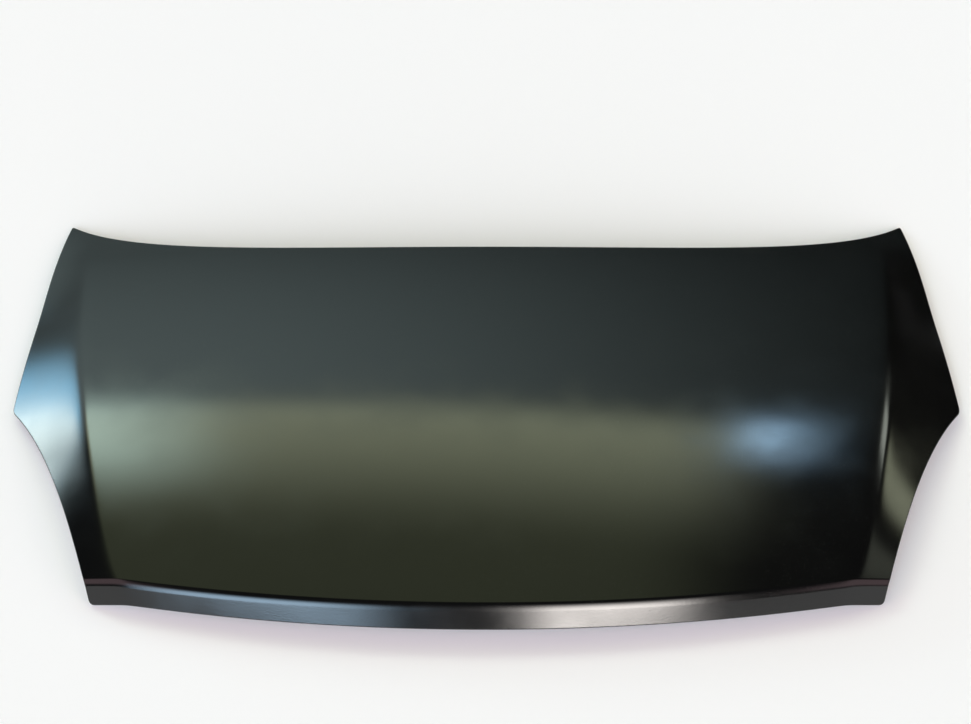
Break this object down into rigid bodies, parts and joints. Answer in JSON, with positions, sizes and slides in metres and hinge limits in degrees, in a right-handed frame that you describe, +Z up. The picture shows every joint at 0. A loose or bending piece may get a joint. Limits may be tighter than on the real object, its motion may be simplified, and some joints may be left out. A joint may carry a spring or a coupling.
{
  "type": "car bonnet",
  "caption": "Small car bonnet: arched pressed steel skin hemmed over a ribbed inner frame, with flat hinge and striker pads underneath.",
  "frame": {"origin": "on the ground under the middle of the bonnet's footprint, skin side up", "axes": "+X across the car towards its left side, +Y from the nose to the windscreen edge, +Z up"},
  "size_m": [1.393, 0.8874, 0.1029],
  "materials": {
    "primed_skin": "glossy black electrocoat primer",
    "primed_frame": "satin black electrocoat primer",
    "primed_plate": "satin black electrocoat primer on thick plate",
    "weld_nut": "zinc plated, dull",
    "mastic": "matt anti-flutter mastic"
  },
  "bodies": {
    "root": {"outer_skin": "primed_skin", "inner_frame": "primed_frame", "hinge_left_reinforcement": "primed_plate", "hinge_left_nut_1": "weld_nut", "hinge_left_nut_2": "weld_nut", "hinge_right_reinforcement": "primed_plate", "hinge_right_nut_1": "weld_nut", "hinge_right_nut_2": "weld_nut", "striker_reinforcement": "primed_plate", "striker_nut_1": "weld_nut", "striker_nut_2": "weld_nut", "nose_stiffener": "primed_frame", "mastic_middle_left_1": "mastic", "mastic_middle_left_2": "mastic", "mastic_middle_left_3": "mastic", "mastic_middle_left_4": "mastic", "mastic_middle_left_5": "mastic", "mastic_middle_left_6": "mastic", "mastic_middle_right_1": "mastic", "mastic_middle_right_2": "mastic", "mastic_middle_right_3": "mastic", "mastic_middle_right_4": "mastic", "mastic_middle_right_5": "mastic", "mastic_middle_right_6": "mastic", "mastic_rear_left_1": "mastic", "mastic_rear_left_2": "mastic", "mastic_rear_left_3": "mastic", "mastic_rear_left_4": "mastic", "mastic_rear_left_5": "mastic", "mastic_rear_right_1": "mastic", "mastic_rear_right_2": "mastic", "mastic_rear_right_3": "mastic", "mastic_rear_right_4": "mastic", "mastic_rear_right_5": "mastic", "mastic_nose_left_1": "mastic", "mastic_nose_left_2": "mastic", "mastic_nose_left_3": "mastic", "mastic_nose_left_4": "mastic", "mastic_nose_right_1": "mastic", "mastic_nose_right_2": "mastic", "mastic_nose_right_3": "mastic", "mastic_nose_right_4": "mastic"}
  },
  "joints": []
}
